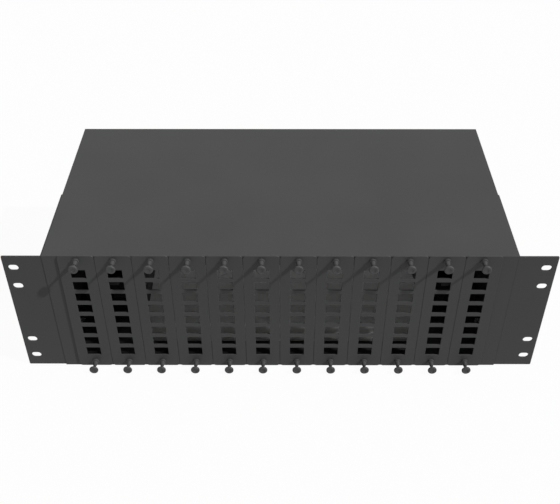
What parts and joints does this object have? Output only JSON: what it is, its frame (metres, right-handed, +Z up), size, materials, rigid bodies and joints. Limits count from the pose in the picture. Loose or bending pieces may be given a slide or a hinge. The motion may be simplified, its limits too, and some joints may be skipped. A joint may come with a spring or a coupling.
{
  "type": "fibre patch panel",
  "caption": "Rack-mounted fibre patch panel: a flat steel enclosure with rack ears and a front of upright adapter plates held by push-pull plungers.",
  "frame": {"origin": "centre of the rectangle of the rack ears' slots, on the ears' rear faces, which lie against the rack rails", "axes": "+X to the right seen from the front, +Y to the rear of the panel, +Z up"},
  "size_m": [0.4826, 0.2338, 0.1332],
  "materials": {
    "case_coat": "fine satin powder coat, black",
    "cover_coat": "fine satin powder coat, black",
    "ear_coat": "fine satin powder coat, black",
    "plate_coat": "fine satin powder coat, black",
    "plunger_plastic": "moulded nylon, black",
    "grommet_plastic": "moulded nylon, black",
    "entry_rubber": "matte rubber, black",
    "zinc": "bright zinc plate",
    "black_screw": "black oxide",
    "tray_plastic": "moulded, grey",
    "lid_plastic": "moulded, light grey",
    "holder_plastic": "moulded, grey",
    "spool_plastic": "moulded, black"
  },
  "bodies": {
    "panel": {"case_base": "case_coat", "front_frame": "case_coat", "top_cover": "cover_coat", "rear_panel": "case_coat", "cable_grommets": "entry_rubber", "rack_ear_left": "ear_coat", "rack_ear_right": "ear_coat", "ear_screws": "zinc", "ear_nuts": "zinc", "case_screws": "black_screw", "floor_screws": "zinc", "splice_tray": "tray_plastic", "splice_tray_lid": "lid_plastic", "splice_holders": "holder_plastic", "slack_spool_left": "spool_plastic", "slack_spool_right": "spool_plastic", "upper_grommets": "grommet_plastic", "lower_grommets": "grommet_plastic", "adapter_plate_01": "plate_coat", "adapter_plate_02": "plate_coat", "adapter_plate_03": "plate_coat", "adapter_plate_04": "plate_coat", "adapter_plate_05": "plate_coat", "adapter_plate_06": "plate_coat", "adapter_plate_07": "plate_coat", "adapter_plate_08": "plate_coat", "adapter_plate_09": "plate_coat", "adapter_plate_10": "plate_coat", "adapter_plate_11": "plate_coat", "adapter_plate_12": "plate_coat"},
    "plunger_01_top": {"plunger_01_top": "plunger_plastic"},
    "plunger_02_top": {"plunger_02_top": "plunger_plastic"},
    "plunger_03_top": {"plunger_03_top": "plunger_plastic"},
    "plunger_04_top": {"plunger_04_top": "plunger_plastic"},
    "plunger_05_top": {"plunger_05_top": "plunger_plastic"},
    "plunger_06_top": {"plunger_06_top": "plunger_plastic"},
    "plunger_07_top": {"plunger_07_top": "plunger_plastic"},
    "plunger_08_top": {"plunger_08_top": "plunger_plastic"},
    "plunger_09_top": {"plunger_09_top": "plunger_plastic"},
    "plunger_10_top": {"plunger_10_top": "plunger_plastic"},
    "plunger_11_top": {"plunger_11_top": "plunger_plastic"},
    "plunger_12_top": {"plunger_12_top": "plunger_plastic"},
    "plunger_01_bottom": {"plunger_01_bottom": "plunger_plastic"},
    "plunger_02_bottom": {"plunger_02_bottom": "plunger_plastic"},
    "plunger_03_bottom": {"plunger_03_bottom": "plunger_plastic"},
    "plunger_04_bottom": {"plunger_04_bottom": "plunger_plastic"},
    "plunger_05_bottom": {"plunger_05_bottom": "plunger_plastic"},
    "plunger_06_bottom": {"plunger_06_bottom": "plunger_plastic"},
    "plunger_07_bottom": {"plunger_07_bottom": "plunger_plastic"},
    "plunger_08_bottom": {"plunger_08_bottom": "plunger_plastic"},
    "plunger_09_bottom": {"plunger_09_bottom": "plunger_plastic"},
    "plunger_10_bottom": {"plunger_10_bottom": "plunger_plastic"},
    "plunger_11_bottom": {"plunger_11_bottom": "plunger_plastic"},
    "plunger_12_bottom": {"plunger_12_bottom": "plunger_plastic"}
  },
  "joints": [
    {"name": "plunger_01_top_slide", "type": "slide", "parent": "panel", "child": "plunger_01_top", "axis": [0, 1, 0], "range_m": [0, 0.0041]},
    {"name": "plunger_02_top_slide", "type": "slide", "parent": "panel", "child": "plunger_02_top", "axis": [0, 1, 0], "range_m": [0, 0.0041]},
    {"name": "plunger_03_top_slide", "type": "slide", "parent": "panel", "child": "plunger_03_top", "axis": [0, 1, 0], "range_m": [0, 0.0041]},
    {"name": "plunger_04_top_slide", "type": "slide", "parent": "panel", "child": "plunger_04_top", "axis": [0, 1, 0], "range_m": [0, 0.0041]},
    {"name": "plunger_05_top_slide", "type": "slide", "parent": "panel", "child": "plunger_05_top", "axis": [0, 1, 0], "range_m": [0, 0.0041]},
    {"name": "plunger_06_top_slide", "type": "slide", "parent": "panel", "child": "plunger_06_top", "axis": [0, 1, 0], "range_m": [0, 0.0041]},
    {"name": "plunger_07_top_slide", "type": "slide", "parent": "panel", "child": "plunger_07_top", "axis": [0, 1, 0], "range_m": [0, 0.0041]},
    {"name": "plunger_08_top_slide", "type": "slide", "parent": "panel", "child": "plunger_08_top", "axis": [0, 1, 0], "range_m": [0, 0.0041]},
    {"name": "plunger_09_top_slide", "type": "slide", "parent": "panel", "child": "plunger_09_top", "axis": [0, 1, 0], "range_m": [0, 0.0041]},
    {"name": "plunger_10_top_slide", "type": "slide", "parent": "panel", "child": "plunger_10_top", "axis": [0, 1, 0], "range_m": [0, 0.0041]},
    {"name": "plunger_11_top_slide", "type": "slide", "parent": "panel", "child": "plunger_11_top", "axis": [0, 1, 0], "range_m": [0, 0.0041]},
    {"name": "plunger_12_top_slide", "type": "slide", "parent": "panel", "child": "plunger_12_top", "axis": [0, 1, 0], "range_m": [0, 0.0041]},
    {"name": "plunger_01_bottom_slide", "type": "slide", "parent": "panel", "child": "plunger_01_bottom", "axis": [0, 1, 0], "range_m": [0, 0.0041]},
    {"name": "plunger_02_bottom_slide", "type": "slide", "parent": "panel", "child": "plunger_02_bottom", "axis": [0, 1, 0], "range_m": [0, 0.0041]},
    {"name": "plunger_03_bottom_slide", "type": "slide", "parent": "panel", "child": "plunger_03_bottom", "axis": [0, 1, 0], "range_m": [0, 0.0041]},
    {"name": "plunger_04_bottom_slide", "type": "slide", "parent": "panel", "child": "plunger_04_bottom", "axis": [0, 1, 0], "range_m": [0, 0.0041]},
    {"name": "plunger_05_bottom_slide", "type": "slide", "parent": "panel", "child": "plunger_05_bottom", "axis": [0, 1, 0], "range_m": [0, 0.0041]},
    {"name": "plunger_06_bottom_slide", "type": "slide", "parent": "panel", "child": "plunger_06_bottom", "axis": [0, 1, 0], "range_m": [0, 0.0041]},
    {"name": "plunger_07_bottom_slide", "type": "slide", "parent": "panel", "child": "plunger_07_bottom", "axis": [0, 1, 0], "range_m": [0, 0.0041]},
    {"name": "plunger_08_bottom_slide", "type": "slide", "parent": "panel", "child": "plunger_08_bottom", "axis": [0, 1, 0], "range_m": [0, 0.0041]},
    {"name": "plunger_09_bottom_slide", "type": "slide", "parent": "panel", "child": "plunger_09_bottom", "axis": [0, 1, 0], "range_m": [0, 0.0041]},
    {"name": "plunger_10_bottom_slide", "type": "slide", "parent": "panel", "child": "plunger_10_bottom", "axis": [0, 1, 0], "range_m": [0, 0.0041]},
    {"name": "plunger_11_bottom_slide", "type": "slide", "parent": "panel", "child": "plunger_11_bottom", "axis": [0, 1, 0], "range_m": [0, 0.0041]},
    {"name": "plunger_12_bottom_slide", "type": "slide", "parent": "panel", "child": "plunger_12_bottom", "axis": [0, 1, 0], "range_m": [0, 0.0041]}
  ]
}
